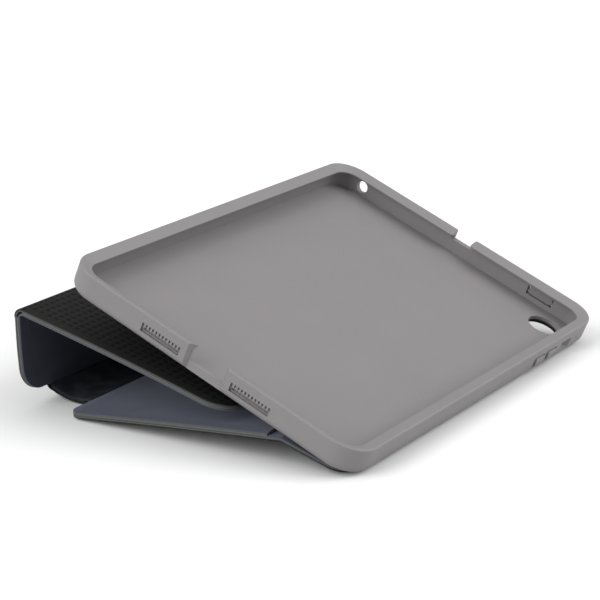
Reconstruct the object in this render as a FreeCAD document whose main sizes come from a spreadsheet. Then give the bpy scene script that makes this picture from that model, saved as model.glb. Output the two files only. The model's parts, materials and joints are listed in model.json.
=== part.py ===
import FreeCAD, Part
import Sketcher
import math
import os

# Folding stand case for a small tablet, standing in its sloped typing position.
# Row frame: X along the long side, Y towards the raised back, Z up, table at Z = 0.
# The cover is a strip of five panels that folds round into a stand. From the front:
#   flap (bonded under the tray), base, spine, riser, lid (its free end lies on the base).
# Every panel is a sandwich: embossed skin outside, stiff board, suede lining inside the loop.

os.makedirs("parts", exist_ok=True)
doc = FreeCAD.newDocument("tablet_case")

# ---------------------------------------------------------------- driving dimensions

DIMENSIONS = {
    # folded posture, degrees from the table
    "tray_tilt": 22.5, "base_slope": 5.79, "spine_slope": 9.0, "riser_slope": 85.5, "lid_slope": 13.7,
    # cover panels, measured between folds
    "cover_width": 206.0, "spine_width": 175.0, "flap_front_width": 197.0,
    "base_length": 100.0, "spine_length": 17.97, "riser_length": 32.6, "lid_length": 99.6,
    "flap_length": 26.0, "hinge_groove": 5.5,
    "lid_corner": 12.5, "riser_corner": 10.0, "base_corner": 6.0, "flap_corner": 7.0,
    "skin_thick": 1.2, "board_thick": 1.0, "lining_thick": 0.8, "flap_lining_thick": 0.6,
    "bond_thick": 0.2, "bond_length": 20.0, "bond_width": 186.0, "bond_setback": 3.0,
    # tray that holds a 200 x 134.7 x 7.5 mm tablet, measured from the plane of its glass
    "tray_width": 206.0, "tray_depth": 140.4, "tray_corner": 12.5, "tray_back": 9.0, "lip_top": 2.4,
    "pocket_width": 200.4, "pocket_depth": 135.1, "pocket_corner": 9.8, "pocket_floor": 7.6,
    "lip_width": 195.8, "lip_depth": 130.2, "lip_corner": 7.6, "lip_under": 0.1,
    "heel_round": 3.6, "lip_round": 0.6, "lip_slope_run": 4.0, "lip_slope_drop": 1.7, "fold_to_front": 31.0,
    # openings in the tray
    "port_width": 16.0, "port_sill": 5.0, "port_inset": 1.5, "port_flare": 19.0,
    "window_length": 18.6, "window_top": 1.5, "window_bottom": 5.2, "window_offset": 21.5,
    "window_recess": 1.0, "window_foot": 0.5, "window_cheek": 0.8,
    "slot_height": 1.5, "rib_pitch": 1.6, "rib_thick": 0.8, "rib_setback": 0.15,
    "mic_notch": 9.6, "mic_sill": 2.0, "jack_radius": 2.8, "jack_offset": 55.2, "jack_level": 3.8,
    "notch_round": 0.8,
    "camera_radius": 7.0, "camera_x": 86.7, "camera_v": -54.2, "hole_margin": 0.5,
    "switch_length": 9.0, "switch_height": 4.4, "cut_margin": 0.5,
    # buttons
    "button_height": 3.4, "button_proud": 0.8, "button_depth": 3.0, "button_gap": 0.25,
    "power_length": 13.0, "volume_length": 9.0, "button_level": 3.6, "button_round": 1.65,
    "power_place": -43.2, "volume_up_place": 60.0, "volume_down_place": 48.5, "switch_place": 74.0,
    # magnets
    "magnet_length": 14.0, "magnet_breadth": 4.0, "magnet_thick": 0.8, "magnet_gap": 0.1,
    "lid_magnet_margin": 8.0, "base_magnet_margin": 24.0, "magnet_pitch": 46.0,
}

sheet = doc.addObject("Spreadsheet::Sheet", "dims")
for row, (alias, number) in enumerate(DIMENSIONS.items(), start=1):
    sheet.set(f"A{row}", alias)
    sheet.set(f"B{row}", str(number))
    sheet.setAlias(f"B{row}", alias)
doc.recompute()


def dim(alias):
    """A driving dimension, read back from the spreadsheet."""
    return float(getattr(sheet, alias))


def direction(angle):
    """Unit vector in the side view, from +Y turned up towards +Z."""
    return FreeCAD.Vector(0, math.cos(math.radians(angle)), math.sin(math.radians(angle)))


# ---------------------------------------------------------------- side-view layout

PANEL_THICK = dim("skin_thick") + dim("board_thick") + dim("lining_thick")
FLAP_THICK = dim("skin_thick") + dim("flap_lining_thick")
SKIN_TO_GLASS = dim("tray_back") + dim("bond_thick") + FLAP_THICK

# The back fold's outer skin is the cover's lowest point, so its lining line is one thickness up.
base_up = direction(90 - dim("base_slope"))
back_fold = FreeCAD.Vector(0, 0, PANEL_THICK)
base_heel = back_fold - base_up * PANEL_THICK
flap_fold = base_heel + direction(180 - dim("base_slope")) * dim("base_length")
riser_fold = back_fold + direction(dim("spine_slope")) * dim("spine_length")
lid_fold = riser_fold + direction(dim("riser_slope")) * dim("riser_length")

tray_along = direction(dim("tray_tilt"))
tray_up = direction(dim("tray_tilt") + 90)
tray_reach = dim("tray_depth") / 2
tray_middle = flap_fold + tray_along * (tray_reach - dim("fold_to_front")) + tray_up * SKIN_TO_GLASS

# The origin is under the middle of the whole case, so the side view slides along Y.
front_edge = tray_middle - tray_along * tray_reach + tray_up * (dim("lip_top") - dim("lip_round"))
back_reach = lid_fold.y + PANEL_THICK
TO_ORIGIN = FreeCAD.Vector(0, -(front_edge.y + back_reach) / 2, 0)
back_fold, base_heel, flap_fold = back_fold + TO_ORIGIN, base_heel + TO_ORIGIN, flap_fold + TO_ORIGIN
riser_fold, lid_fold, tray_middle = riser_fold + TO_ORIGIN, lid_fold + TO_ORIGIN, tray_middle + TO_ORIGIN


def tilted(point, angle):
    """Placement of a piece drawn flat, with its own Y axis at this angle above the row's Y."""
    return FreeCAD.Placement(point, FreeCAD.Rotation(FreeCAD.Vector(1, 0, 0), angle))


# ---------------------------------------------------------------- modelling helpers

def add_body(label, placement=None):
    body = doc.addObject("PartDesign::Body", label)
    body.Label = label
    body.Placement = placement or FreeCAD.Placement()
    return body


def add_sketch(body, name, plane="XY_Plane", height=None):
    """Sketch on one of the body's own origin planes, raised by an expression."""
    sketch = body.newObject("Sketcher::SketchObject", name)
    plane_feature = next(f for f in body.Origin.OriginFeatures if f.Role == plane)
    sketch.AttachmentSupport = (plane_feature, "")
    sketch.MapMode = "FlatFace"
    if height:
        sketch.setExpression("AttachmentOffset.Base.z", height)
    return sketch


def add_lines(sketch, points):
    """Closed polygon whose corners are joined and fixed at these points."""
    first = sketch.GeometryCount
    count = len(points)
    corners = [FreeCAD.Vector(x, y, 0) for x, y in points]
    for i in range(count):
        sketch.addGeometry(Part.LineSegment(corners[i], corners[(i + 1) % count]))
    for i in range(count):
        sketch.addConstraint(constraint("Coincident", first + i, 2, first + (i + 1) % count, 1))
    return first


def constraint(kind, *args):
    return Sketcher.Constraint(kind, *args)


def add_driven(sketch, kind, args, expression, guess):
    """Dimensional constraint bound to the spreadsheet."""
    index = sketch.addConstraint(constraint(kind, *args, guess))
    sketch.setExpression(f"Constraints[{index}]", expression)


def rectangle(sketch, width, y_low, y_high):
    """Rectangle centred on the sketch's X = 0, with its width and both Y edges driven."""
    half = 10.0
    first = add_lines(sketch, [(-half, -5.0), (half, -5.0), (half, 5.0), (-half, 5.0)])
    sketch.addConstraint(constraint("Horizontal", first))
    sketch.addConstraint(constraint("Vertical", first + 1))
    sketch.addConstraint(constraint("Horizontal", first + 2))
    sketch.addConstraint(constraint("Vertical", first + 3))
    add_driven(sketch, "DistanceX", (first + 3, 2, first + 1, 1), width, 2 * half)
    add_driven(sketch, "DistanceX", (-1, 1, first + 1, 1), f"({width}) / 2", half)
    add_driven(sketch, "DistanceY", (-1, 1, first, 1), y_low, -5.0)
    add_driven(sketch, "DistanceY", (-1, 1, first + 2, 1), y_high, 5.0)


def place_rectangle(sketch, x_middle, y_middle, width, height):
    """Rectangle whose middle and size are all driven."""
    first = add_lines(sketch, [(1.0, 1.0), (3.0, 1.0), (3.0, 3.0), (1.0, 3.0)])
    sketch.addConstraint(constraint("Horizontal", first))
    sketch.addConstraint(constraint("Vertical", first + 1))
    sketch.addConstraint(constraint("Horizontal", first + 2))
    sketch.addConstraint(constraint("Vertical", first + 3))
    add_driven(sketch, "DistanceX", (-1, 1, first, 1), f"{x_middle} - ({width}) / 2", 1.0)
    add_driven(sketch, "DistanceX", (-1, 1, first + 1, 1), f"{x_middle} + ({width}) / 2", 3.0)
    add_driven(sketch, "DistanceY", (-1, 1, first, 1), f"{y_middle} - ({height}) / 2", 1.0)
    add_driven(sketch, "DistanceY", (-1, 1, first + 2, 1), f"{y_middle} + ({height}) / 2", 3.0)


def pad(body, sketch, length):
    feature = body.newObject("PartDesign::Pad", sketch.Name + "_pad")
    feature.Profile = sketch
    feature.setExpression("Length", length)
    doc.recompute()
    return feature


def pocket(body, sketch, length, midplane=False, towards_plus=False):
    """Pocket that must take material away, whichever way it is told to go."""
    before = body.Shape.Volume
    feature = body.newObject("PartDesign::Pocket", sketch.Name + "_pocket")
    feature.Profile = sketch
    feature.Midplane = midplane
    feature.Reversed = towards_plus
    feature.setExpression("Length", length)
    doc.recompute()
    if body.Shape.Volume > before - 0.01:
        raise RuntimeError(f"{sketch.Name} cuts nothing")
    return feature


def round_edges(body, radius, wanted, kind="PartDesign::Fillet"):
    """Fillet, or chamfer, the edges of the body's tip that the test picks out."""
    base = body.Tip
    names = [f"Edge{i}" for i, edge in enumerate(base.Shape.Edges, start=1) if wanted(edge)]
    feature = body.newObject(kind, f"{body.Name}_rounding")
    feature.Base = (base, names)
    feature.setExpression("Size" if kind.endswith("Chamfer") else "Radius", radius)
    doc.recompute()
    return feature


TOUCH = 0.01      # two heights or places closer than this count as the same


def is_upright(edge):
    """True for a straight edge along the body's Z."""
    box = edge.BoundBox
    return box.ZLength > 0.2 and box.XLength < TOUCH and box.YLength < TOUCH


def upright_below(y_limit):
    """Test for upright edges on the low-Y side of a limit."""
    def test(edge):
        return is_upright(edge) and edge.CenterOfMass.y < y_limit
    return test


def upright_above(y_limit):
    """Test for upright edges on the high-Y side of a limit."""
    def test(edge):
        return is_upright(edge) and edge.CenterOfMass.y > y_limit
    return test


def at_level(z_level):
    """Test for edges that lie flat at one height in the body's own frame."""
    def test(edge):
        return abs(edge.BoundBox.ZMin - z_level) < TOUCH and abs(edge.BoundBox.ZMax - z_level) < TOUCH
    return test


# ---------------------------------------------------------------- cover panels

def panel_layer(label, placement, width, start, end, bottom, thickness, corner=None):
    """One layer of a panel: a flat prism, its far corners rounded where the cover's are."""
    body = add_body(label, placement)
    sketch = add_sketch(body, label + "_outline", height=bottom)
    rectangle(sketch, width, start, end)
    doc.recompute()
    pad(body, sketch, thickness)
    if corner:
        flat = body.Tip.Shape.BoundBox
        round_edges(body, corner, upright_above((flat.YMin + flat.YMax) / 2))
    return body


# Four bars in each row, spaced about the middle.
MAGNET_STEPS = (-1.5, -0.5, 0.5, 1.5)


def magnet_pockets(body, y_middle):
    """Through pockets for the row of bar magnets near a panel's edge."""
    sketch = add_sketch(body, body.Name + "_magnet_pockets", height="dims.skin_thick + dims.board_thick")
    length, breadth = (f"dims.magnet_{side} + 2 * dims.magnet_gap" for side in ("length", "breadth"))
    for step in MAGNET_STEPS:
        place_rectangle(sketch, f"{step} * dims.magnet_pitch", y_middle, length, breadth)
    doc.recompute()
    pocket(body, sketch, "dims.board_thick")


def magnet_row(label, placement, y_middle):
    """Bar magnets, all alike, as one group."""
    bars = []
    for step in MAGNET_STEPS:
        bar = doc.addObject("Part::Box", f"{label}_bar")
        bar.setExpression("Length", "dims.magnet_length")
        bar.setExpression("Width", "dims.magnet_breadth")
        bar.setExpression("Height", "dims.magnet_thick")
        bar.setExpression("Placement.Base.x", f"{step} * dims.magnet_pitch - dims.magnet_length / 2")
        bar.setExpression("Placement.Base.y", f"{y_middle} - dims.magnet_breadth / 2")
        bar.setExpression("Placement.Base.z", "dims.skin_thick + dims.magnet_gap")
        bars.append(bar)
    group = doc.addObject("Part::Compound", label)
    group.Label = label
    group.Links = bars
    group.Placement = placement
    return group


SKIN = ("0", "dims.skin_thick")
BOARD = ("dims.skin_thick", "dims.board_thick")
LINING = ("dims.skin_thick + dims.board_thick", "dims.lining_thick")
BASE_MAGNETS = "(dims.hinge_groove + dims.base_magnet_margin)"
LID_MAGNETS = "(dims.lid_length - dims.lid_magnet_margin)"

# Each panel is drawn flat: its own Y runs away from a fold and its own Z from skin to lining.
# The half turn about Z makes a panel that runs towards the front.
def facing_front(point, slope):
    """Placement of a panel that runs from the point to the front and down by the slope."""
    turn = FreeCAD.Rotation(FreeCAD.Vector(1, 0, 0), 180 + slope)
    return FreeCAD.Placement(point, turn)


base_place = tilted(flap_fold, -dim("base_slope"))
spine_place = tilted(back_fold - direction(90 + dim("spine_slope")) * PANEL_THICK, dim("spine_slope"))
riser_place = tilted(riser_fold - direction(90 + dim("riser_slope")) * PANEL_THICK, dim("riser_slope"))
lid_place = facing_front(lid_fold + direction(90 + dim("lid_slope")) * PANEL_THICK, dim("lid_slope"))
flap_place = tilted(tray_middle - tray_up * SKIN_TO_GLASS, dim("tray_tilt"))

subparts = []
for layer, (bottom, thickness) in (("skin", SKIN), ("board", BOARD), ("lining", LINING)):
    base = panel_layer(f"base_{layer}", base_place, "dims.cover_width", "dims.hinge_groove",
                       "dims.base_length", bottom, thickness, "dims.base_corner")
    spine = panel_layer(f"spine_{layer}", spine_place, "dims.spine_width", "0",
                        "dims.spine_length", bottom, thickness)
    riser = panel_layer(f"riser_{layer}", riser_place, "dims.cover_width", "0",
                        "dims.riser_length", bottom, thickness)
    lid = panel_layer(f"lid_{layer}", lid_place, "dims.cover_width", "0",
                      "dims.lid_length", bottom, thickness, "dims.lid_corner")
    round_edges(riser, "dims.riser_corner", upright_below(1.0))
    if layer == "board":
        magnet_pockets(base, BASE_MAGNETS)
        magnet_pockets(lid, LID_MAGNETS)
    subparts += [base, spine, riser, lid]
subparts.append(magnet_row("base_magnets", base_place, BASE_MAGNETS))
subparts.append(magnet_row("lid_magnets", lid_place, LID_MAGNETS))

# ---------------------------------------------------------------- living hinges between the panels

def add_sector(body, name, width, near, far, sweep):
    """Add a sector about the body's X, between two distances from it, swept by the fold's bend."""
    sketch = add_sketch(body, name, plane="XZ_Plane")
    rectangle(sketch, width, near, far)
    doc.recompute()
    sector = body.newObject("PartDesign::Revolution", name + "_sweep")
    sector.Profile = sketch
    sector.ReferenceAxis = (sketch, ["H_Axis"])
    sector.setExpression("Angle", sweep)
    doc.recompute()
    return sector


def wrap_fold(label, point, slope, width, near, far, sweep):
    """Web on the outside of a fold that turns about its lining line."""
    body = add_body(label, tilted(point, slope))
    sector = add_sector(body, label + "_section", width, f"-({far})", f"-({near})", sweep)
    turn_to_plus_y(sector, True)
    return body


def turn_to_plus_y(sector, plus):
    """Make the sector lie on the wanted side of the body's own XZ plane."""
    if (sector.Shape.CenterOfMass.y > 0) != plus:
        sector.Reversed = not sector.Reversed
        doc.recompute()


THROUGH = "dims.skin_thick + dims.board_thick + dims.lining_thick"
WRAPPED_FOLDS = (
    ("back_fold", back_fold, -dim("base_slope"), "spine_width", "dims.spine_slope + dims.base_slope"),
    ("riser_fold", riser_fold, dim("spine_slope"), "spine_width", "dims.riser_slope - dims.spine_slope"),
    ("lid_fold", lid_fold, dim("riser_slope"), "cover_width", "180 + dims.lid_slope - dims.riser_slope"),
)
for name, point, slope, width, sweep in WRAPPED_FOLDS:
    width = f"dims.{width}"
    subparts.append(wrap_fold(f"{name}_skin", point, slope, width,
                              f"{THROUGH} - dims.skin_thick", THROUGH, sweep))
    subparts.append(wrap_fold(f"{name}_lining", point, slope, width, "0", "dims.lining_thick", sweep))


def groove_fold(label, near, far):
    """Web of the flap fold: a thin strip along the base, then a bend about its skin line."""
    body = add_body(label, base_place)
    sector = add_sector(body, label + "_section", "dims.cover_width", near, far,
                        "dims.tray_tilt + dims.base_slope")
    turn_to_plus_y(sector, False)
    strip = add_sketch(body, label + "_strip", height=near)
    rectangle(strip, "dims.cover_width", "0", "dims.hinge_groove")
    doc.recompute()
    pad(body, strip, f"({far}) - ({near})")
    return body


subparts.append(groove_fold("flap_fold_skin", "0", "dims.skin_thick"))
subparts.append(groove_fold("flap_fold_lining", "dims.skin_thick",
                            "dims.skin_thick + dims.flap_lining_thick"))

# ---------------------------------------------------------------- flap bonded under the tray

CAMERA_FROM_FOLD = "dims.camera_v + dims.tray_depth / 2 - dims.fold_to_front"


def flap_layer(label, bottom, thickness):
    """Layer of the flap: narrower at its front edge, with rounded front corners and a camera hole."""
    body = add_body(label, tilted(flap_fold, dim("tray_tilt")))
    sketch = add_sketch(body, label + "_outline", height=bottom)
    first = add_lines(sketch, [(-9.0, -5.0), (9.0, -5.0), (10.0, 0.0), (-10.0, 0.0)])
    sketch.addConstraint(constraint("Symmetric", first, 1, first, 2, -2))
    sketch.addConstraint(constraint("Symmetric", first + 2, 1, first + 2, 2, -1, 1))
    sketch.addConstraint(constraint("Horizontal", first + 2))
    add_driven(sketch, "DistanceX", (first, 1, first, 2), "dims.flap_front_width", 18.0)
    add_driven(sketch, "DistanceX", (first + 2, 2, first + 2, 1), "dims.cover_width", 20.0)
    add_driven(sketch, "DistanceY", (first, 1, -1, 1), "dims.flap_length", 5.0)
    doc.recompute()
    pad(body, sketch, thickness)
    round_edges(body, "dims.flap_corner", upright_below(-1.0))
    hole = add_sketch(body, label + "_camera_hole", height=f"{bottom} + {thickness}")
    drilled_circle(hole, "dims.camera_x", CAMERA_FROM_FOLD, "dims.camera_radius + dims.hole_margin")
    doc.recompute()
    pocket(body, hole, f"{thickness}")
    return body


def drilled_circle(sketch, x_middle, y_middle, radius):
    """Circle whose middle and radius are driven."""
    index = sketch.addGeometry(Part.Circle(FreeCAD.Vector(1, 1, 0), FreeCAD.Vector(0, 0, 1), 1.0))
    add_driven(sketch, "Radius", (index,), radius, 1.0)
    add_driven(sketch, "DistanceX", (-1, 1, index, 3), x_middle, 1.0)
    add_driven(sketch, "DistanceY", (-1, 1, index, 3), y_middle, 1.0)


subparts.append(flap_layer("flap_skin", "0", "dims.skin_thick"))
subparts.append(flap_layer("flap_lining", "dims.skin_thick", "dims.flap_lining_thick"))



def bond_layer():
    """Adhesive sheet between the flap and the tray's back, with the camera hole through it."""
    on_flap = "dims.skin_thick + dims.flap_lining_thick"
    front, back = "-dims.bond_length - dims.bond_setback", "-dims.bond_setback"
    bond = panel_layer("bond_sheet", tilted(flap_fold, dim("tray_tilt")), "dims.bond_width",
                       front, back, on_flap, "dims.bond_thick")
    hole = add_sketch(bond, "bond_camera_hole", height=f"{on_flap} + dims.bond_thick")
    drilled_circle(hole, "dims.camera_x", CAMERA_FROM_FOLD, "dims.camera_radius + dims.hole_margin")
    doc.recompute()
    pocket(bond, hole, "dims.bond_thick")
    return bond


subparts.append(bond_layer())

# ---------------------------------------------------------------- tray

tray_place = tilted(tray_middle, dim("tray_tilt"))


def rounded_rectangle(sketch, width, depth, radius):
    """Rectangle with round corners, centred on the sketch's origin, all driven."""
    half_w, half_d, turn = 20.0, 15.0, 4.0
    sides = (((half_w, turn - half_d), (half_w, half_d - turn)),
             ((half_w - turn, half_d), (turn - half_w, half_d)),
             ((-half_w, half_d - turn), (-half_w, turn - half_d)),
             ((turn - half_w, -half_d), (half_w - turn, -half_d)))
    first = sketch.GeometryCount
    for start, end in sides:
        sketch.addGeometry(Part.LineSegment(FreeCAD.Vector(*start, 0), FreeCAD.Vector(*end, 0)))
    for quarter in range(4):
        angle = quarter * math.pi / 2
        centre = FreeCAD.Vector((half_w - turn) * (1 if quarter in (0, 3) else -1),
                                (half_d - turn) * (1 if quarter in (0, 1) else -1), 0)
        circle = Part.Circle(centre, FreeCAD.Vector(0, 0, 1), turn)
        sketch.addGeometry(Part.ArcOfCircle(circle, angle, angle + math.pi / 2))
    for side in range(4):
        arc, following = first + 4 + side, first + (side + 1) % 4
        sketch.addConstraint(constraint("Tangent", first + side, 2, arc, 1))
        sketch.addConstraint(constraint("Tangent", arc, 2, following, 1))
        sketch.addConstraint(constraint("Horizontal" if side % 2 else "Vertical", first + side))
    for corner in range(1, 4):
        sketch.addConstraint(constraint("Equal", first + 4, first + 4 + corner))
    add_driven(sketch, "DistanceX", (first + 2, 1, first, 1), width, 2 * half_w)
    add_driven(sketch, "DistanceY", (first + 3, 1, first + 1, 1), depth, 2 * half_d)
    add_driven(sketch, "Radius", (first + 4,), radius, turn)
    sketch.addConstraint(constraint("Symmetric", first + 4, 3, first + 6, 3, -1, 1))


def cut_rectangle(body, name, plane, height, middle, size, depth, towards_plus=False):
    """Rectangular pocket cut from an offset origin plane."""
    sketch = add_sketch(body, name, plane=plane, height=height)
    place_rectangle(sketch, middle[0], middle[1], size[0], size[1])
    doc.recompute()
    pocket(body, sketch, depth, towards_plus=towards_plus)


HOME_END = "-dims.tray_width / 2"
CAMERA_END = "dims.tray_width / 2"
FRONT_WALL = "dims.tray_depth / 2"
THROUGH_WALL = "(dims.tray_width - dims.pocket_width) / 2 + dims.cut_margin"
THROUGH_LIP = "(dims.tray_width - dims.lip_width) / 2 + dims.cut_margin"


def tray_shell(tray):
    """Rounded block with the tablet pocket and the lip that slopes in over the glass."""
    block = add_sketch(tray, "tray_outline", height="-dims.tray_back")
    rounded_rectangle(block, "dims.tray_width", "dims.tray_depth", "dims.tray_corner")
    doc.recompute()
    pad(tray, block, "dims.tray_back + dims.lip_top")
    round_edges(tray, "dims.heel_round", at_level(-dim("tray_back")))
    round_edges(tray, "dims.lip_round", at_level(dim("lip_top")))
    opening = add_sketch(tray, "lip_opening", height="dims.lip_top")
    rounded_rectangle(opening, "dims.lip_width", "dims.lip_depth", "dims.lip_corner")
    doc.recompute()
    pocket(tray, opening, "dims.lip_top - dims.lip_under")
    slope = round_edges(tray, "dims.lip_slope_run", is_lip_edge, kind="PartDesign::Chamfer")
    slope.ChamferType = "Two distances"
    slope.setExpression("Size2", "dims.lip_slope_drop")
    doc.recompute()
    seat = add_sketch(tray, "tablet_pocket", height="dims.lip_under")
    rounded_rectangle(seat, "dims.pocket_width", "dims.pocket_depth", "dims.pocket_corner")
    doc.recompute()
    pocket(tray, seat, "dims.lip_under + dims.pocket_floor")


def is_lip_edge(edge):
    """True for an edge on the lip opening's top outline, not on the outer wall's."""
    box = edge.BoundBox
    reach_x, reach_y = max(abs(box.XMin), abs(box.XMax)), max(abs(box.YMin), abs(box.YMax))
    within = reach_x < dim("lip_width") / 2 + TOUCH and reach_y < dim("lip_depth") / 2 + TOUCH
    return within and at_level(dim("lip_top"))(edge)


def notch_edge(end, half_width):
    """Test for the upright edges at the sides of a notch in one end's lip."""
    def test(edge):
        middle = edge.CenterOfMass
        above_floor = edge.BoundBox.ZMin > -dim("pocket_floor")
        return (is_upright(edge) and above_floor and abs(abs(middle.y) - half_width) < TOUCH
                and middle.x * end > dim("lip_width") / 2 - TOUCH)
    return test


def home_end_openings(tray):
    """Connector cut-out between two ribbed speaker windows."""
    port_height = "dims.port_sill + dims.lip_top + 1"
    port_middle = "(dims.lip_top + 1 - dims.port_sill) / 2"
    cut_rectangle(tray, "port_cut", "YZ_Plane", HOME_END, ("0", port_middle),
                  ("dims.port_width", port_height), THROUGH_LIP, True)
    inset = add_sketch(tray, "port_inset", height="dims.lip_top")
    trapezoid = add_lines(inset, [(-5.0, -4.0), (-4.0, -3.0), (-4.0, 3.0), (-5.0, 4.0)])
    inset.addConstraint(constraint("Symmetric", trapezoid + 1, 1, trapezoid + 1, 2, -1))
    inset.addConstraint(constraint("Symmetric", trapezoid + 3, 1, trapezoid + 3, 2, -1))
    add_driven(inset, "DistanceX", (trapezoid + 3, 2, -1, 1), "dims.tray_width / 2 + dims.cut_margin", 5.0)
    add_driven(inset, "DistanceX", (trapezoid + 1, 1, -1, 1), "dims.tray_width / 2 - dims.port_inset", 4.0)
    add_driven(inset, "DistanceY", (trapezoid + 3, 2, trapezoid + 3, 1), "dims.port_flare + 1", 8.0)
    add_driven(inset, "DistanceY", (trapezoid + 1, 1, trapezoid + 1, 2), "dims.port_width", 6.0)
    doc.recompute()
    pocket(tray, inset, "dims.tray_back + dims.lip_top")
    for side, sign in (("near", -1), ("far", 1)):
        speaker_window(tray, side, f"{sign} * dims.window_offset")


def speaker_window(tray, side, middle):
    """Shallow recess with a through slot along its foot and a row of ribs above the slot."""
    window_middle = "-(dims.window_top + dims.window_bottom) / 2"
    cut_rectangle(tray, f"{side}_window", "YZ_Plane", HOME_END, (middle, window_middle),
                  ("dims.window_length", "dims.window_bottom - dims.window_top"), "dims.window_recess", True)
    cut_rectangle(tray, f"{side}_sound_slot", "YZ_Plane", HOME_END,
                  (middle, "dims.window_foot - dims.window_bottom + dims.slot_height / 2"),
                  ("dims.window_length - 2 * dims.window_cheek", "dims.slot_height"), THROUGH_WALL, True)
    ribs = add_sketch(tray, f"{side}_ribs", plane="YZ_Plane", height=HOME_END + " + dims.window_recess")
    rib_height = "(dims.window_bottom - dims.window_top - dims.slot_height - dims.window_foot)"
    for step in range(-5, 6):
        place_rectangle(ribs, f"{middle} + {step} * dims.rib_pitch", f"-dims.window_top - {rib_height} / 2",
                        "dims.rib_thick", rib_height)
    doc.recompute()
    rib_pad = pad(tray, ribs, "dims.window_recess - dims.rib_setback")
    rib_pad.Reversed = True
    doc.recompute()


def camera_end_openings(tray):
    """Microphone notch, headphone hole and the power button's slot."""
    cut_rectangle(tray, "mic_cut", "YZ_Plane", CAMERA_END,
                  ("0", "(dims.lip_top + 1 - dims.mic_sill) / 2"),
                  ("dims.mic_notch", "dims.lip_top + 1 + dims.mic_sill"),
                  THROUGH_LIP)
    jack = add_sketch(tray, "jack_hole", plane="YZ_Plane", height=CAMERA_END)
    drilled_circle(jack, "dims.jack_offset", "-dims.jack_level", "dims.jack_radius")
    doc.recompute()
    pocket(tray, jack, THROUGH_WALL)
    button_slot(tray, "power_slot", "YZ_Plane", CAMERA_END, "dims.power_place", "dims.power_length")


def front_openings(tray):
    """Slots for the volume buttons and the side switch, low on the front wall."""
    for name, place in (("volume_up_slot", "dims.volume_up_place"),
                        ("volume_down_slot", "dims.volume_down_place")):
        button_slot(tray, name, "XZ_Plane", FRONT_WALL, place, "dims.volume_length")
    cut_rectangle(tray, "switch_slot", "XZ_Plane", FRONT_WALL, ("dims.switch_place", "-dims.button_level"),
                  ("dims.switch_length", "dims.switch_height"), THROUGH_WALL)


def button_slot(tray, name, plane, wall, place, length):
    """Slot through the wall, a gap larger than the button that works in it."""
    size = (f"{length} + 2 * dims.button_gap", "dims.button_height + 2 * dims.button_gap")
    cut_rectangle(tray, name, plane, wall, (place, "-dims.button_level"), size, THROUGH_WALL)


tray = add_body("tray", tray_place)
tray_shell(tray)
home_end_openings(tray)
camera_end_openings(tray)
front_openings(tray)
round_edges(tray, "dims.notch_round", notch_edge(-1, dim("port_width") / 2))
round_edges(tray, "dims.notch_round", notch_edge(1, dim("mic_notch") / 2))
camera_hole = add_sketch(tray, "tray_camera_hole", height="0")
drilled_circle(camera_hole, "dims.camera_x", "dims.camera_v", "dims.camera_radius")
doc.recompute()
pocket(tray, camera_hole, "dims.tray_back + 1")
subparts.append(tray)

# ---------------------------------------------------------------- button covers

def runs_through_wall(plane):
    """Test for the four long edges of a bar that passes through the wall drawn on this plane."""
    def test(edge):
        box = edge.BoundBox
        through, across = (box.XLength, box.YLength) if plane == "YZ_Plane" else (box.YLength, box.XLength)
        return through > 1.0 and across < TOUCH and box.ZLength < TOUCH
    return test


def button(label, plane, wall, place, length):
    """Button cover: a round-cornered bar through the wall, standing proud of it."""
    body = add_body(label, tray_place)
    sketch = add_sketch(body, label + "_outline", plane=plane, height=f"{wall} + dims.button_proud")
    place_rectangle(sketch, place, "-dims.button_level", length, "dims.button_height")
    doc.recompute()
    bar = pad(body, sketch, "dims.button_depth")
    bar.Reversed = True
    doc.recompute()
    round_edges(body, "dims.button_round", runs_through_wall(plane))
    return body


subparts.append(button("power_button", "YZ_Plane", CAMERA_END, "dims.power_place", "dims.power_length"))
for side in ("up", "down"):
    subparts.append(button(f"volume_{side}_button", "XZ_Plane", FRONT_WALL, f"dims.volume_{side}_place",
                           "dims.volume_length"))

# ---------------------------------------------------------------- checks and export

doc.recompute()
for item in doc.Objects:
    if "Invalid" in item.State or "Error" in item.State:
        raise RuntimeError(f"{item.Label} failed: {item.State}")

overall = FreeCAD.BoundBox()
for piece in subparts:
    shape = piece.Shape
    if shape.isNull() or not shape.isValid():
        raise RuntimeError(f"{piece.Label} has no valid shape")
    overall.add(shape.BoundBox)
    shape.exportStep(f"parts/{piece.Label}.step")
print(len(subparts), "pieces", overall)
print("flap fold", flap_fold, "back fold", back_fold, "riser fold", riser_fold, "lid fold", lid_fold)
print("tray middle", tray_middle, "thickness", PANEL_THICK)
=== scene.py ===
import json
import math

import bmesh
import bpy
from mathutils import Matrix, Vector


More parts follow.
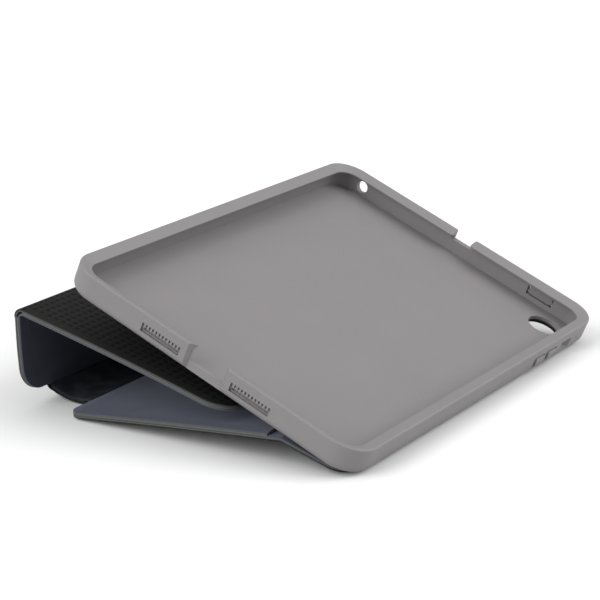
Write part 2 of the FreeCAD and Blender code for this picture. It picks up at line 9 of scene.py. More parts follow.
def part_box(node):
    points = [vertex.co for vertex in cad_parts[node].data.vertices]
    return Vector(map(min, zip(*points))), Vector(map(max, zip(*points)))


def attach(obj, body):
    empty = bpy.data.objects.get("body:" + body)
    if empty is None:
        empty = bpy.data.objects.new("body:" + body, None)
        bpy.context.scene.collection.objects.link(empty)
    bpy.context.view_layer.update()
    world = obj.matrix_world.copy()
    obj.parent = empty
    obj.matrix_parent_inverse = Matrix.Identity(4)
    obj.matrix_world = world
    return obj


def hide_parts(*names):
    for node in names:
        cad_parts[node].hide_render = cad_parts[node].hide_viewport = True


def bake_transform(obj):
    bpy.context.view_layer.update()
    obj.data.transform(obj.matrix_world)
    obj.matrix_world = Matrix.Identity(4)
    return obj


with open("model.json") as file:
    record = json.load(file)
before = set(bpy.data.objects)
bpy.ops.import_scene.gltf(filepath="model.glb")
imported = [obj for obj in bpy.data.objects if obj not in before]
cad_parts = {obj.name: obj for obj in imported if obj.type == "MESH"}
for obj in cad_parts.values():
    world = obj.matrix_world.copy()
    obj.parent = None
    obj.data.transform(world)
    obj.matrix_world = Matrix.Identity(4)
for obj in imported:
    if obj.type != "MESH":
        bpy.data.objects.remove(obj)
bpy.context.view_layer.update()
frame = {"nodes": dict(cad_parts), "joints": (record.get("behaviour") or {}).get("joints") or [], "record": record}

MM = 0.001

# ---------------------------------------------------------------- layout, partly read from the frame

NODES = frame["nodes"]
JOINT = {joint["name"]: joint for joint in frame["joints"]}
SLOT_OF = {part["node"]: part["material_slot"] for part in frame["record"]["subparts"]}


def fold_point(name):
    """Point on a fold's axis, at X = 0."""
    return Vector(JOINT[name]["pos_m"])


def slope_between(start, end):
    """Angle of the line from start to end above +Y, in the side view."""
    return math.atan2(end.z - start.z, end.y - start.y)


def side_direction(angle):
    """Unit vector in the side view, from +Y turned up towards +Z."""
    return Vector((0, math.cos(angle), math.sin(angle)))


SKIN, BOARD, LINING = 1.2 * MM, 1.0 * MM, 0.8 * MM
THICK = SKIN + BOARD + LINING
FLAP_LINING = 0.6 * MM
HALF_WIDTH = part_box("base_skin")[1].x
SPINE_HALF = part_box("spine_skin")[1].x
FLAP_FRONT_HALF = 98.5 * MM
LID_CORNER, RISER_CORNER, BASE_CORNER, FLAP_CORNER = 12.5 * MM, 10.0 * MM, 6.0 * MM, 7.0 * MM
LID_LENGTH, FLAP_LENGTH = 99.6 * MM, 26.0 * MM
LID_SLOPE = math.radians(13.7)
GROOVE = 5.5 * MM           # bare strip between the flap fold and the base's board
FOLD_GAP = 0.7 * MM         # from a fold's line to where the panels on each side of it stop
BASE_GAP = 1.5 * MM         # the same on both sides of the back fold

FLAP_FOLD = fold_point("flap_fold")
BACK_FOLD = fold_point("back_fold")
RISER_FOLD = fold_point("riser_fold")
LID_FOLD = fold_point("lid_fold")
PRESS = Vector(JOINT["volume_up_press"]["axis"])
TRAY_TILT = math.atan2(PRESS.z, PRESS.y)

SPINE_SLOPE = slope_between(BACK_FOLD, RISER_FOLD)
RISER_SLOPE = slope_between(RISER_FOLD, LID_FOLD)
SPINE_LENGTH = (RISER_FOLD - BACK_FOLD).length
RISER_LENGTH = (LID_FOLD - RISER_FOLD).length

# The base's skin runs from the flap fold down to the heel under the back fold.
BASE_REACH = BACK_FOLD - FLAP_FOLD
BASE_LENGTH = math.sqrt(BASE_REACH.length_squared - THICK ** 2)
BASE_SLOPE = math.atan2(BASE_REACH.z, BASE_REACH.y) - math.atan2(THICK, BASE_LENGTH)

# Distances along the skin from the flap fold, so that the weave runs on from panel to panel.
SPINE_START = BASE_LENGTH
RISER_START = SPINE_START + SPINE_LENGTH + THICK * (RISER_SLOPE - SPINE_SLOPE)
LID_BEND = math.pi + LID_SLOPE - RISER_SLOPE
LID_START = RISER_START + RISER_LENGTH + THICK * LID_BEND

# ---------------------------------------------------------------- mesh tools

CORNER_STEPS = 12
EDGE_INSETS = [v * MM for v in (0.0, 0.06, 0.16, 0.3, 0.5, 1.0, 2.0, 3.5, 5.5)]
INSET_MARGIN = 1e-9
PLAIN_STEP = 4 * MM
MERGE_DISTANCE, SLIVER = 0.004 * MM, 0.002 * MM
SHARP_CORNER = math.radians(50)


def smoothstep(low, high, value):
    """0 below low, 1 above high, smooth between."""
    share = min(max((value - low) / (high - low), 0.0), 1.0)
    return share * share * (3 - 2 * share)


def steps_to(total, size):
    """Even steps from 0 to total, each about the given size."""
    count = max(2, round(total / size))
    return [total * i / count for i in range(count + 1)]


class Outline:
    """A panel's plan: X across, S along the cover, with round corners at either end."""

    def __init__(self, half_width, start, end, near_corner=0.0, far_corner=0.0, far_half_width=None):
        self.half_width, self.start, self.end = half_width, start, end
        self.near_corner, self.far_corner = near_corner, far_corner
        self.far_half_width = half_width if far_half_width is None else far_half_width

    def ends_at(self, s):
        """Each end's corner radius and the distance from that end to S."""
        return (self.near_corner, s - self.start), (self.far_corner, self.end - s)

    def straight_half(self, s):
        """Half width before the corners are rounded off."""
        share = (s - self.start) / (self.end - self.start)
        return self.half_width + (self.far_half_width - self.half_width) * share

    def half_at(self, s):
        """Half width at S, inside the round corners."""
        half = self.straight_half(s)
        for corner, along in self.ends_at(s):
            if corner and along < corner:
                half -= corner - math.sqrt(max(corner ** 2 - (corner - along) ** 2, 0.0))
        return half

    def depth_inside(self, x, s):
        """Distance in from the free edges: the sides, and an end only where its corners are round."""
        side = self.straight_half(s) - abs(x)
        depth = side
        for corner, along in self.ends_at(s):
            if not corner:
                continue
            if along < corner and side < corner:
                depth = min(depth, corner - math.hypot(corner - along, corner - side))
            else:
                depth = min(depth, along)
        return max(depth, 0.0)

    def rows(self, step):
        """S values: fine round the corners, even between them."""
        quarter = [1 - math.cos(math.radians(90) * k / CORNER_STEPS) for k in range(CORNER_STEPS)]
        near = [self.start + self.near_corner * q for q in quarter] if self.near_corner else []
        far = [self.end - self.far_corner * q for q in quarter] if self.far_corner else []
        low, high = self.start + self.near_corner, self.end - self.far_corner
        middle = [low + v for v in steps_to(high - low, step)]
        return sorted(near + middle + far)

    def columns(self, step):
        """X values of the full width, from side to side: close together near the two edges."""
        inner = self.half_width - EDGE_INSETS[-1]
        right = [self.half_width - v for v in EDGE_INSETS]
        middle = [-inner + v for v in steps_to(2 * inner, step)][1:-1]
        return [-v for v in right] + middle + right[::-1]

    def columns_at(self, s, columns):
        """The columns moved in to the width at S. Those near a side keep their distance from it."""
        half = self.half_at(s)
        shrink = (half - EDGE_INSETS[-1]) / (self.half_width - EDGE_INSETS[-1])
        moved = []
        for x in columns:
            inset = self.half_width - abs(x)
            near_side = inset < EDGE_INSETS[-1] - INSET_MARGIN
            moved.append(math.copysign(half - inset, x) if near_side else x * shrink)
        return moved


def face_grid(mesh, outline, step, height, place):
    """Rows of vertices over one face of a sheet, and the flat (x, s, z) of every one."""
    columns = outline.columns(step)
    grid, flat = [], []
    for s in outline.rows(step):
        line = []
        for x in outline.columns_at(s, columns):
            z = height(x, s, outline.depth_inside(x, s))
            line.append(mesh.verts.new(place(x, s, z)))
            flat.append((x, s, z))
        grid.append(line)
    return grid, flat


def close_sheet(mesh, top, bottom):
    """Quads over both faces, and a rim of quads between them."""
    rows, columns = len(top), len(top[0])
    for j in range(rows - 1):
        for i in range(columns - 1):
            mesh.faces.new((top[j][i], top[j][i + 1], top[j + 1][i + 1], top[j + 1][i]))
            mesh.faces.new((bottom[j][i], bottom[j + 1][i], bottom[j + 1][i + 1], bottom[j][i + 1]))
    rim = [(0, i) for i in range(columns)] + [(j, columns - 1) for j in range(1, rows)]
    rim += [(rows - 1, i) for i in range(columns - 2, -1, -1)] + [(j, 0) for j in range(rows - 2, 0, -1)]
    for (j, i), (next_j, next_i) in zip(rim, rim[1:] + rim[:1]):
        mesh.faces.new((top[j][i], bottom[j][i], bottom[next_j][next_i], top[next_j][next_i]))


def slab(name, outline, thickness, place, edge_round, top_shape=None, bottom_shape=None,
         step=PLAIN_STEP, origin=0.0, rim_depth=None):
    """Closed sheet of one layer. place(x, s, z) puts a flat point in the CAD frame.
    top_shape and bottom_shape add to the height, from x, s and the distance in from the edge.
    Each point keeps its flat place for the materials: x, s from the origin, and its depth as a
    share of the thickness. rim_depth, if given, stands in for that share."""
    def rounded(depth):
        return edge_round - math.sqrt(max(edge_round ** 2 - max(edge_round - depth, 0.0) ** 2, 0.0))

    def top_height(x, s, depth):
        return thickness - rounded(depth) + (top_shape(x, s, depth) if top_shape else 0.0)

    def bottom_height(x, s, depth):
        return rounded(depth) + (bottom_shape(x, s, depth) if bottom_shape else 0.0)

    mesh = bmesh.new()
    top, flat_top = face_grid(mesh, outline, step, top_height, place)
    bottom, flat_bottom = face_grid(mesh, outline, step, bottom_height, place)
    close_sheet(mesh, top, bottom)
    mesh.verts.index_update()
    data = bpy.data.meshes.new(name)
    mesh.to_mesh(data)
    mesh.free()
    attribute = data.attributes.new("cloth_at", "FLOAT_VECTOR", "POINT")
    for index, (x, s, z) in enumerate(flat_top + flat_bottom):
        attribute.data[index].vector = (x, s + origin, z / thickness if rim_depth is None else rim_depth)
    for face in data.polygons:
        face.use_smooth = True
    piece = bpy.data.objects.new(name, data)
    bpy.context.scene.collection.objects.link(piece)
    tidy_mesh(piece)
    return piece


def tidy_mesh(piece):
    """Merge coincident points, make the faces agree on a side and keep only hard corners sharp."""
    mesh = bmesh.new()
    mesh.from_mesh(piece.data)
    bmesh.ops.remove_doubles(mesh, verts=mesh.verts, dist=MERGE_DISTANCE)
    bmesh.ops.dissolve_degenerate(mesh, edges=mesh.edges, dist=SLIVER)
    bmesh.ops.recalc_face_normals(mesh, faces=mesh.faces)
    for edge in mesh.edges:
        edge.smooth = len(edge.link_faces) == 2 and edge.calc_face_angle(0.0) < SHARP_CORNER
    mesh.to_mesh(piece.data)
    mesh.free()


def evaluated_mesh(piece):
    """The piece's mesh with its modifiers applied."""
    bpy.context.view_layer.update()
    return bpy.data.meshes.new_from_object(piece.evaluated_get(bpy.context.evaluated_depsgraph_get()))


# ---------------------------------------------------------------- placing functions
# Each turns a flat point (x, s, z) into a point in the CAD frame.

def flat_place(point, slope):
    """A flat panel: S runs from the point along the slope, and Z from its outer face inward."""
    along, up = side_direction(slope), side_direction(slope + math.pi / 2)

    def placed(x, s, z):
        return point + Vector((x, 0, 0)) + along * s + up * z
    return placed


def raised(place, lift):
    """The same placing with every point lifted off the skin's outer face."""
    def placed(x, s, z):
        return place(x, s, z + lift)
    return placed


def bowed(place, length, bow):
    """The same placing with a gentle bow along its length, outward if bow is negative."""
    def placed(x, s, z):
        return place(x, s, z + bow * math.sin(math.pi * min(max(s / length, 0.0), 1.0)))
    return placed


def bridge_place(ends, slopes, thicks, length, pinch):
    """A fold's web: its lining face is a smooth curve between two points with the given slopes,
    and Z runs from its outer face inward."""
    start, end = ends
    start_pull, end_pull = [side_direction(slope) * length for slope in slopes]

    def placed(x, s, z):
        u = min(max(s / length, 0.0), 1.0)
        turned = 3 * u ** 2 - 2 * u ** 3
        place = (start * (2 * u ** 3 - 3 * u ** 2 + 1) + start_pull * (u ** 3 - 2 * u ** 2 + u)
                 + end * turned + end_pull * (u ** 3 - u ** 2))
        angle = slopes[0] + (slopes[1] - slopes[0]) * turned
        inward = side_direction(angle + math.pi / 2) * (z - web_thickness(thicks, pinch, u))
        return place + Vector((x, 0, 0)) + inward
    return placed


def web_thickness(thicks, pinch, u):
    """A web's whole thickness at a share u of its length: pinched at its middle."""
    return thicks[0] + (thicks[1] - thicks[0]) * u - pinch * math.sin(math.pi * u)


def arc_place(start, end, turn, thick):
    """A sagging strip: its lining face is an arc from start to end."""
    chord = end - start
    first = math.atan2(chord.z, chord.y) - turn / 2
    radius = chord.length / (2 * math.sin(turn / 2))

    def placed(x, s, z):
        angle = first + turn * s / chord.length
        forward = radius * (math.sin(angle) - math.sin(first))
        rise = radius * (math.cos(first) - math.cos(angle))
        return start + Vector((x, forward, rise)) + side_direction(angle + math.pi / 2) * (z - thick)
    return placed


# ---------------------------------------------------------------- materials

WEAVE = 3.45 * MM
THREAD = 0.62 * MM
EDGE_COLOUR = (0.066, 0.070, 0.067)
# The dimple colour is painted shade in the hollows of the emboss.
STRAND_COLOUR, DIMPLE_SHADE_COLOUR = (0.0095, 0.0095, 0.0090), (0.0026, 0.0026, 0.0025)
WORN_COLOUR = (0.0085, 0.0085, 0.0081)
SUEDE_DARK, SUEDE_LIGHT, SUEDE_SPECK = (0.021, 0.024, 0.035), (0.031, 0.034, 0.049), (0.085, 0.091, 0.115)
SUEDE_RIM_DARK, SUEDE_RIM_LIGHT = (0.060, 0.067, 0.078), (0.096, 0.104, 0.112)
SHEEN_TINT = (0.62, 0.66, 0.82, 1.0)
# Painted shade: darker suede for the spine and fold linings, which lie in shadow.
SHADED_SUEDE_DARK, SHADED_SUEDE_LIGHT = (0.016, 0.0175, 0.023), (0.031, 0.034, 0.043)
NICKEL = (0.55, 0.54, 0.52)
BOND_DARK, BOND_LIGHT = (0.52, 0.52, 0.48), (0.62, 0.61, 0.57)
TRAY_TINT = (0.163, 0.1535, 0.156)
BUTTON_SHADE = 0.94


def shade(colour, factor):
    """A colour made lighter or darker."""
    return tuple(c * factor for c in colour)


class Shader:
    """Small helper that builds one principled material node by node."""

    def __init__(self, name):
        self.material = bpy.data.materials.new(name)
        self.material.use_nodes = True
        self.tree = self.material.node_tree
        self.surface = self.tree.nodes["Principled BSDF"]

    def node(self, kind, **settings):
        made = self.tree.nodes.new(kind)
        for key, value in settings.items():
            setattr(made, key, value)
        return made

    def feed(self, socket, value):
        """Link a socket, or set it to a number or a colour."""
        if isinstance(value, bpy.types.NodeSocket):
            self.tree.links.new(value, socket)
        else:
            socket.default_value = (*value, 1.0) if isinstance(value, tuple) else value

    def maths(self, operation, *values):
        made = self.node("ShaderNodeMath", operation=operation)
        for socket, value in zip(made.inputs, values):
            self.feed(socket, value)
        return made.outputs[0]

    def varied(self, value, base, gain):
        """base + gain * value."""
        return self.maths("MULTIPLY_ADD", value, gain, base)

    def ramp(self, value, low, high):
        """0 at low, 1 at high, smooth between."""
        made = self.node("ShaderNodeMapRange", interpolation_type="SMOOTHSTEP")
        self.feed(made.inputs["Value"], value)
        self.feed(made.inputs["From Min"], low)
        self.feed(made.inputs["From Max"], high)
        return made.outputs["Result"]

    def mix(self, share, first, second):
        made = self.node("ShaderNodeMix", data_type="RGBA")
        self.feed(made.inputs["Factor"], share)
        self.feed(made.inputs["A"], first)
        self.feed(made.inputs["B"], second)
        return made.outputs["Result"]

    def noise(self, where, scale, detail=3.0, roughness=0.55):
        made = self.node("ShaderNodeTexNoise")
        self.feed(made.inputs["Vector"], where)
        made.inputs["Scale"].default_value = scale
        made.inputs["Detail"].default_value = detail
        made.inputs["Roughness"].default_value = roughness
        return made.outputs["Fac"]

    def patches(self, where, scale, low, high, colours, detail=3.0):
        """Two colours in soft patches, parted where the noise passes from low to high."""
        return self.mix(self.ramp(self.noise(where, scale, detail), low, high), *colours)

    def bump(self, height, distance, strength=1.0, normal=None):
        made = self.node("ShaderNodeBump")
        made.inputs["Strength"].default_value = strength
        made.inputs["Distance"].default_value = distance
        self.feed(made.inputs["Height"], height)
        if normal is not None:
            self.feed(made.inputs["Normal"], normal)
        return made.outputs["Normal"]

    def cloth(self):
        """Flat cloth coordinates of a cover layer: all three, across, along, and the depth in it."""
        where = self.node("ShaderNodeAttribute", attribute_name="cloth_at")
        split = self.node("ShaderNodeSeparateXYZ")
        self.feed(split.inputs[0], where.outputs["Vector"])
        return where.outputs["Vector"], split.outputs["X"], split.outputs["Y"], split.outputs["Z"]

    def place(self):
        return self.node("ShaderNodeTexCoord").outputs["Object"]

    def finish(self, colour, roughness, normal=None, specular=0.5):
        self.feed(self.surface.inputs["Base Color"], colour)
        self.feed(self.surface.inputs["Roughness"], roughness)
        self.surface.inputs["Specular IOR Level"].default_value = specular
        if normal is not None:
            self.feed(self.surface.inputs["Normal"], normal)
        return self.material


def tray_material(name, tint):
    """Soft-touch moulded plastic: fine matt texture, faint mottling."""
    s = Shader(name)
    where = s.place()
    colour = s.patches(where, 45.0, 0.3, 0.7, (shade(tint, 0.985), shade(tint, 1.015)))
    roughness = s.varied(s.noise(where, 900.0), base=0.44, gain=0.14)
    grain = s.noise(where, 5200.0, detail=2.0)
    return s.finish(colour, roughness, s.bump(grain, 0.05 * MM, 0.35), specular=0.42)


def skin_material():
    """Black embossed skin with a woven relief, painted shade in its dimples, a fine thread grain and a pale cut
    edge.
    """
    s = Shader("embossed_skin")
    where, across, along, depth = s.cloth()

    def wave(way, length):
        return s.maths("SINE", s.maths("MULTIPLY", way, math.pi / length))

    from_side = s.maths("SUBTRACT", HALF_WIDTH, s.maths("ABSOLUTE", across))
    margin = s.ramp(from_side, 1.5 * MM, 4 * MM)
    waves = [s.maths("ABSOLUTE", wave(way, WEAVE)) for way in (across, along)]
    dimple = s.maths("MULTIPLY", s.ramp(s.maths("MULTIPLY", *waves), 0.25, 0.95), margin)
    threads = s.maths("MULTIPLY", *[wave(way, THREAD / 2) for way in (across, along)])
    grain = s.noise(where, 1500.0, detail=4.0)
    normal = s.bump(grain, 0.03 * MM, 0.4, s.bump(threads, 0.03 * MM, 0.6))
    # Painted shade: the dimples are coloured darker than the strands.
    face = s.mix(dimple, STRAND_COLOUR, DIMPLE_SHADE_COLOUR)
    worn = s.patches(where, 60.0, 0.42, 0.75, (face, WORN_COLOUR))
    colour = s.mix(s.ramp(depth, 0.42, 0.6), worn, EDGE_COLOUR)
    return s.finish(colour, s.varied(dimple, base=0.62, gain=0.12), normal, specular=0.12)


def lining_material():
    """Slate suede microfibre: short nap with brushed patches, paler at its cut edge."""
    s = Shader("suede_lining")
    where, _, _, depth = s.cloth()
    nap = s.noise(where, 3800.0, detail=3.0, roughness=0.7)
    face = s.patches(where, 38.0, 0.35, 0.68, (SUEDE_DARK, SUEDE_LIGHT), detail=4.0)
    speck = s.mix(s.maths("MULTIPLY", s.ramp(nap, 0.5, 0.75), 0.35), face, SUEDE_SPECK)
    rubbed = s.patches(where, 300.0, 0.35, 0.7, (SUEDE_RIM_DARK, SUEDE_RIM_LIGHT))
    colour = s.mix(s.ramp(depth, 0.75, 0.45), speck, rubbed)
    material = s.finish(colour, 0.92, s.bump(nap, 0.05 * MM, 0.6), specular=0.18)
    s.surface.inputs["Sheen Weight"].default_value = 0.35
    s.surface.inputs["Sheen Roughness"].default_value = 0.45
    s.surface.inputs["Sheen Tint"].default_value = SHEEN_TINT
    return material


def shaded_lining_material():
    """The same suede at the spine and its folds, painted darker as painted shade where they lie in shadow, and
    flatter.
    """
    s = Shader("lining_painted_shade")
    where = s.cloth()[0]
    face = s.patches(where, 140.0, 0.35, 0.7, (SHADED_SUEDE_DARK, SHADED_SUEDE_LIGHT), detail=4.0)
    nap = s.noise(where, 3800.0, detail=3.0, roughness=0.7)
    return s.finish(face, 0.95, s.bump(nap, 0.05 * MM, 0.5), specular=0.12)


def board_material():
    """Grey fibre board, seen only along its pressed and sealed cut edge."""
    s = Shader("board_edge")
    fibres = s.noise(s.cloth()[0], 900.0, detail=4.0)
    colour = s.mix(s.ramp(fibres, 0.35, 0.7), shade(EDGE_COLOUR, 0.86), shade(EDGE_COLOUR, 1.1))
    return s.finish(colour, 0.62, s.bump(fibres, 0.06 * MM, 0.5), specular=0.35)


def metal_material():
    """Nickel-plated bar magnets."""
    s = Shader("nickel_plate")
    where = s.place()
    roughness = s.varied(s.noise(where, 700.0), base=0.2, gain=0.2)
    material = s.finish(NICKEL, roughness, s.bump(s.noise(where, 2500.0), 0.01 * MM, 0.3))
    s.surface.inputs["Metallic"].default_value = 1.0
    return material


def bond_material():
    """Milky adhesive sheet."""
    s = Shader("bond_film")
    where = s.place()
    colour = s.patches(where, 120.0, 0.3, 0.7, (BOND_DARK, BOND_LIGHT))
    return s.finish(colour, 0.4, s.bump(s.noise(where, 1200.0), 0.02 * MM, 0.4))


MATERIALS = {
    "tray_shell": tray_material("soft_touch_shell", TRAY_TINT),
    "button_cover": tray_material("soft_touch_button", shade(TRAY_TINT, BUTTON_SHADE)),
    "cover_skin": skin_material(),
    "cover_lining": lining_material(),
    "cover_board": board_material(),
    "magnet": metal_material(),
    "bond": bond_material(),
}
# The lining of the spine and its folds, darkened as painted shade.
SHADE_PAINTED_LINING = shaded_lining_material()


def dress(piece, slot_name):
    """Give a piece the one material of its slot."""
    piece.data.materials.clear()
    piece.data.materials.append(MATERIALS[slot_name])


def add_piece(piece, node, finish=None):
    """Give a made piece its finish and let it stand for its CAD node."""
    dress(piece, SLOT_OF[node])
    if finish:
        piece.data.materials[0] = finish
    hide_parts(node)


# ---------------------------------------------------------------- cover panels

LAYERS = {"skin": (0.0, SKIN), "board": (SKIN, BOARD), "lining": (SKIN + BOARD, LINING)}
THIN_LAYERS = {"skin": (0.0, SKIN), "lining": (SKIN, FLAP_LINING)}
EDGE_ROUND = {"skin": 0.4 * MM, "board": 0.25 * MM, "lining": 0.35 * MM}
BASE_BOW, RISER_BOW, LID_BOW = 0.3 * MM, -0.5 * MM, -0.7 * MM
PUFF, PRESSED_BAND = 0.22 * MM, 4.5 * MM
EMBOSS = 0.2 * MM
EMBOSS_STARTS, EMBOSS_FULL = 2 * MM, 5 * MM
FINE_STEP, HIDDEN_STEP = 0.8 * MM, 1.15 * MM


def sinks_to_edge(x, s, depth):
    """How far a face drops as it nears a free edge, like a padded sheet pressed at its rim."""
    return PUFF * (1 - smoothstep(0.0, PRESSED_BAND, depth))


def lining_face(x, s, depth):
    """Shape of the inner face, which is plain."""
    return -sinks_to_edge(x, s, depth)


def embossed(origin):
    """Shape of the outer face: a square grid of dimples between raised strands, fading to the edge."""
    def shape(x, s, depth):
        dimple = abs(math.sin(math.pi * x / WEAVE) * math.sin(math.pi * (s + origin) / WEAVE))
        fade = smoothstep(EMBOSS_STARTS, EMBOSS_FULL, depth)
        return sinks_to_edge(x, s, depth) + EMBOSS * smoothstep(0.2, 1.0, dimple) * fade
    return shape


def panel(body, outline, place, origin, skin_step):
    """Skin, board and lining of one panel, sharing one bowed placing function."""
    for layer, (low, thickness) in LAYERS.items():
        piece = slab(f"{body}_{layer}_sheet", outline, thickness, raised(place, low), EDGE_ROUND[layer],
                     top_shape=lining_face if layer == "lining" else None,
                     bottom_shape=embossed(origin) if layer == "skin" else None,
                     step=skin_step if layer == "skin" else PLAIN_STEP, origin=origin)
        add_piece(piece, f"{body}_{layer}")
        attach(piece, body)


riser_corner = RISER_FOLD - side_direction(RISER_SLOPE + math.pi / 2) * THICK
lid_corner = LID_FOLD + side_direction(LID_SLOPE + math.pi / 2) * THICK
base_place = bowed(flat_place(FLAP_FOLD, BASE_SLOPE), BASE_LENGTH, BASE_BOW)
riser_place = bowed(flat_place(riser_corner, RISER_SLOPE), RISER_LENGTH, RISER_BOW)
lid_place = bowed(flat_place(lid_corner, math.pi + LID_SLOPE), LID_LENGTH, LID_BOW)

panel("base", Outline(HALF_WIDTH, GROOVE, BASE_LENGTH - BASE_GAP, far_corner=BASE_CORNER),
      base_place, 0.0, HIDDEN_STEP)
panel("riser", Outline(HALF_WIDTH, FOLD_GAP, RISER_LENGTH - FOLD_GAP, near_corner=RISER_CORNER),
      riser_place, RISER_START, FINE_STEP)
panel("lid", Outline(HALF_WIDTH, FOLD_GAP, LID_LENGTH, far_corner=LID_CORNER),
      lid_place, LID_START, FINE_STEP)

# The spine is a thinner, softer strip that sags between the two folds. Its rims are painted in the colour of the
# faces beside them, and its board and lining in darker suede: painted shade, as the spine lies in shadow.
SPINE_LAYERS = {"skin": (0.0, 1.0 * MM), "board": (1.0 * MM, 0.4 * MM), "lining": (1.4 * MM, 0.8 * MM)}
SPINE_THICK = 2.2 * MM
SPINE_STEP = 2 * MM
EXTRA_SAG = math.radians(6.0)
SPINE_TURN = 2 * (SPINE_SLOPE - BASE_SLOPE) + EXTRA_SAG
SPINE_FIRST, SPINE_LAST = SPINE_SLOPE - SPINE_TURN / 2, SPINE_SLOPE + SPINE_TURN / 2
# Painted shade: these rim shares give the spine's skin rims its dark face colour in place of the pale cut edge.
SHADED_RIM_DEPTH = {"skin": 0.0, "board": 0.0, "lining": 1.0}
spine_place = arc_place(BACK_FOLD, RISER_FOLD, SPINE_TURN, SPINE_THICK)
spine_outline = Outline(SPINE_HALF, BASE_GAP, SPINE_LENGTH - FOLD_GAP)
for layer, (low, thickness) in SPINE_LAYERS.items():
    piece = slab(f"spine_{layer}_sheet", spine_outline, thickness, raised(spine_place, low),
                 EDGE_ROUND[layer], step=SPINE_STEP, origin=SPINE_START, rim_depth=SHADED_RIM_DEPTH[layer])
    # The spine's board and lining take the darker suede: painted shade.
    add_piece(piece, f"spine_{layer}", SHADE_PAINTED_LINING if layer != "skin" else None)
    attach(piece, "spine")

# ---------------------------------------------------------------- webs at the folds

WEB_STEP, GROOVE_STEP = 0.3 * MM, 0.5 * MM
WEB_ROUND = 0.6             # share of a panel's edge rounding
WEB_SLACK, WEB_EASE = 1.2, 0.1 * MM
LID_PINCH = 0.1 * MM
LEAST_HEIGHT = 0.02 * MM    # where the groove turns about the skin line


def web(name, ends, slopes, thicks, half_width, origin, in_shade, pinch=0.0):
    """Skin and lining webs of one fold, flush with the panels on each side. A fold marked as lying in shadow gets
    painted shade: the skin's rims take its dark face colour and the lining the darker suede.
    """
    span = (ends[1] - ends[0]).length
    length = 0.5 * (slopes[1] - slopes[0]) * max(thicks) + span
    reach = span * WEB_SLACK + WEB_EASE
    place = bridge_place(ends, slopes, thicks, reach, pinch)

    def skin_place(x, s, z):
        return place(x, s / length * reach, z)

    def lining_place(x, s, z):
        u = s / length
        return place(x, u * reach, z + web_thickness(thicks, pinch, u) - LINING)

    for layer, thickness, layer_place in (("skin", SKIN, skin_place), ("lining", LINING, lining_place)):
        piece = slab(f"{name}_{layer}_web", Outline(half_width, 0.0, length), thickness, layer_place,
                     EDGE_ROUND[layer] * WEB_ROUND, step=WEB_STEP, origin=origin,
                     rim_depth=SHADED_RIM_DEPTH[layer] if in_shade else None)
        add_piece(piece, f"{name}_{layer}", SHADE_PAINTED_LINING if in_shade and layer == "lining" else None)
        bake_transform(piece)


base_end = base_place(0, BASE_LENGTH - BASE_GAP, THICK)
spine_ends = [spine_place(0, s, SPINE_THICK) for s in (BASE_GAP, SPINE_LENGTH - FOLD_GAP)]
riser_ends = [riser_place(0, s, THICK) for s in (FOLD_GAP, RISER_LENGTH - FOLD_GAP)]
lid_end = lid_place(0, FOLD_GAP, THICK)
spine_rate = SPINE_TURN / SPINE_LENGTH
web("back_fold", (base_end, spine_ends[0]),
    (BASE_SLOPE, SPINE_FIRST + spine_rate * BASE_GAP), (THICK, SPINE_THICK),
    SPINE_HALF, BASE_LENGTH - BASE_GAP, True)
web("riser_fold", (spine_ends[1], riser_ends[0]),
    (SPINE_LAST - spine_rate * FOLD_GAP, RISER_SLOPE), (SPINE_THICK, THICK),
    SPINE_HALF, SPINE_START + SPINE_LENGTH, True)
web("lid_fold", (riser_ends[1], lid_end),
    (RISER_SLOPE, math.pi + LID_SLOPE), (THICK, THICK),
    HALF_WIDTH, RISER_START + RISER_LENGTH, False, pinch=LID_PINCH)


def groove_fold():
    """Webs of the flap fold: a thin strip along the base's front, then a turn about the skin line."""
    turn = 1.0 * MM
    groove_start = flat_place(FLAP_FOLD, BASE_SLOPE)

    def place(x, s, z):
        if s >= 0:
            return groove_start(x, s, z)
        angle = BASE_SLOPE + math.pi / 2 + (TRAY_TILT - BASE_SLOPE) * (-s / turn)
        return FLAP_FOLD + Vector((x, 0, 0)) + side_direction(angle) * max(z, LEAST_HEIGHT)

    for layer, (low, thickness) in THIN_LAYERS.items():
        piece = slab(f"flap_fold_{layer}_web", Outline(HALF_WIDTH, -turn, GROOVE), thickness,
                     raised(place, low), EDGE_ROUND[layer] * WEB_ROUND, step=GROOVE_STEP)
        add_piece(piece, f"flap_fold_{layer}")
        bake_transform(piece)


groove_fold()

# ---------------------------------------------------------------- flap under the tray

CAMERA_X, CAMERA_REACH, CAMERA_RADIUS = 86.7 * MM, 15.0 * MM, 7.5 * MM
CAMERA_HOLE = Vector((CAMERA_X, 0, 0)) + FLAP_FOLD - side_direction(TRAY_TILT) * CAMERA_REACH
DRILL_SIDES, DRILL_DEPTH = 96, 12 * MM
FLAP_ROUND = 0.7            # share of a panel's edge rounding


def drill(piece):
    """Cut the camera hole through a flap layer."""
    bpy.ops.mesh.primitive_cylinder_add(vertices=DRILL_SIDES, radius=CAMERA_RADIUS, depth=DRILL_DEPTH,
                                        location=CAMERA_HOLE, rotation=(TRAY_TILT, 0, 0))
    cutter = bpy.context.object
    cut = piece.modifiers.new("camera_hole", "BOOLEAN")
    cut.operation, cut.object, cut.solver = "DIFFERENCE", cutter, "EXACT"
    drilled = evaluated_mesh(piece)
    piece.modifiers.clear()
    piece.data = drilled
    bpy.data.objects.remove(cutter)


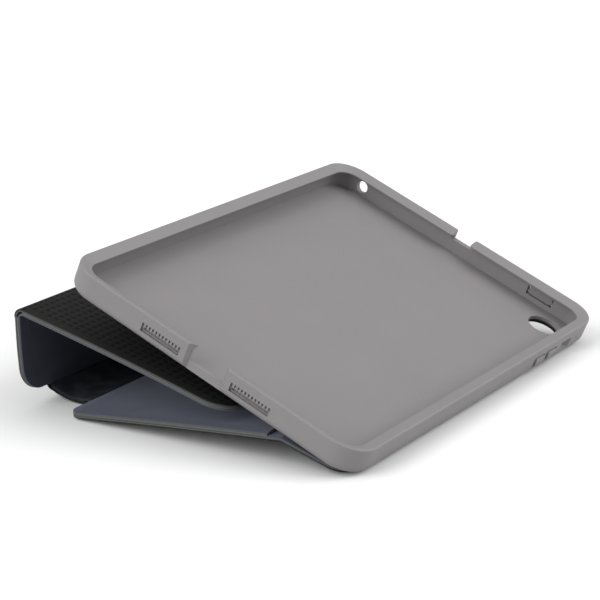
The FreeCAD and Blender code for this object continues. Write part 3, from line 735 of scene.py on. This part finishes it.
flap_outline = Outline(FLAP_FRONT_HALF, -FLAP_LENGTH, 0.0, near_corner=FLAP_CORNER, far_half_width=HALF_WIDTH)
flap_place = flat_place(FLAP_FOLD, TRAY_TILT)
for layer, (low, thickness) in THIN_LAYERS.items():
    flap_piece = slab(f"flap_{layer}_sheet", flap_outline, thickness, raised(flap_place, low),
                      EDGE_ROUND[layer] * FLAP_ROUND)
    drill(flap_piece)
    add_piece(flap_piece, f"flap_{layer}")
    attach(flap_piece, "holder")

# ---------------------------------------------------------------- button covers and carried-over parts

BUTTON_EASE, EASE_SEGMENTS = 0.4 * MM, 3
HARD_CORNER = math.radians(32)
FLAT_ENOUGH = math.radians(0.6)


def soften(node, body):
    """Moulded copy of a CAD piece: the same shape with its hard corners eased."""
    piece = bpy.data.objects.new(f"{node}_moulded", NODES[node].data.copy())
    bpy.context.scene.collection.objects.link(piece)
    mesh = bmesh.new()
    mesh.from_mesh(piece.data)
    bmesh.ops.remove_doubles(mesh, verts=mesh.verts, dist=SLIVER)
    bmesh.ops.dissolve_limit(mesh, angle_limit=FLAT_ENOUGH, verts=mesh.verts, edges=mesh.edges)
    weight = mesh.edges.layers.float.new("bevel_weight_edge")
    for edge in mesh.edges:
        closed = len(edge.link_faces) == 2
        hard = closed and edge.calc_face_angle(0.0) >= HARD_CORNER
        edge[weight] = 1.0 if hard else 0.0
        edge.smooth = closed and not hard
    mesh.to_mesh(piece.data)
    mesh.free()
    for face in piece.data.polygons:
        face.use_smooth = True
    ease = piece.modifiers.new("eased_corners", "BEVEL")
    ease.width, ease.segments, ease.limit_method = BUTTON_EASE, EASE_SEGMENTS, "WEIGHT"
    ease.use_clamp_overlap = False
    ease.miter_outer = "MITER_ARC"
    eased = evaluated_mesh(piece)
    piece.modifiers.clear()
    piece.data = eased
    add_piece(piece, node)
    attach(piece, body)


soften("power_button", "power_key")
soften("volume_up_button", "volume_up_key")
soften("volume_down_button", "volume_down_key")

for node, part in NODES.items():
    if not part.hide_render:
        dress(part, SLOT_OF[node])

# ---------------------------------------------------------------- floor, light and camera

FLOOR_SIZE = 12.0
FLOOR_COLOUR = (0.68, 0.688, 0.682)
SKY_COLOUR, SKY_STRENGTH = (1.0, 1.0, 1.0, 1.0), 0.5
AIM = Vector((-4.5, 7.886, 30.8)) * MM
AZIMUTH, ELEVATION, ROLL = math.radians(-58.27), math.radians(16.76), math.radians(0.34)
DISTANCE = 0.889
FOCAL_LENGTH, SENSOR_WIDTH = 129.4, 36.0

bpy.ops.mesh.primitive_plane_add(size=FLOOR_SIZE, location=(0, 0, 0))
floor = bpy.context.object
floor.name = "floor"
floor.data.materials.append(Shader("pale_floor").finish(FLOOR_COLOUR, 0.9, specular=0.1))

world = bpy.data.worlds.new("studio")
bpy.context.scene.world = world
world.use_nodes = True
sky = world.node_tree.nodes["Background"]
sky.inputs["Color"].default_value = SKY_COLOUR
sky.inputs["Strength"].default_value = SKY_STRENGTH


def soft_sun(name, travel, energy, spread):
    """Wide soft light with no falloff, shining along a direction of travel. spread is in degrees."""
    data = bpy.data.lights.new(name, "SUN")
    data.energy, data.angle = energy, math.radians(spread)
    lamp = bpy.data.objects.new(name, data)
    lamp.rotation_euler = Vector(travel).to_track_quat("-Z", "Y").to_euler()
    bpy.context.scene.collection.objects.link(lamp)


soft_sun("left_key", travel=(1.0, -0.45, -0.65), energy=2.5, spread=50)
soft_sun("right_key", travel=(-0.6, 1.0, -0.7), energy=2.6, spread=50)
soft_sun("top_fill", travel=(0.0, -0.2, -1.0), energy=1.1, spread=90)

looking = Vector((-math.sin(AZIMUTH) * math.cos(ELEVATION), math.cos(AZIMUTH) * math.cos(ELEVATION),
                  -math.sin(ELEVATION)))
lens = bpy.data.cameras.new("camera")
lens.lens, lens.sensor_width = FOCAL_LENGTH, SENSOR_WIDTH
camera = bpy.data.objects.new("camera", lens)
camera.matrix_world = Matrix.Translation(AIM - looking * DISTANCE) @ (
    looking.to_track_quat("-Z", "Y").to_matrix().to_4x4() @ Matrix.Rotation(ROLL, 4, "Z"))
bpy.context.scene.collection.objects.link(camera)
bpy.context.scene.camera = camera
bpy.context.scene.view_settings.view_transform = "Standard"

bpy.context.view_layer.update()
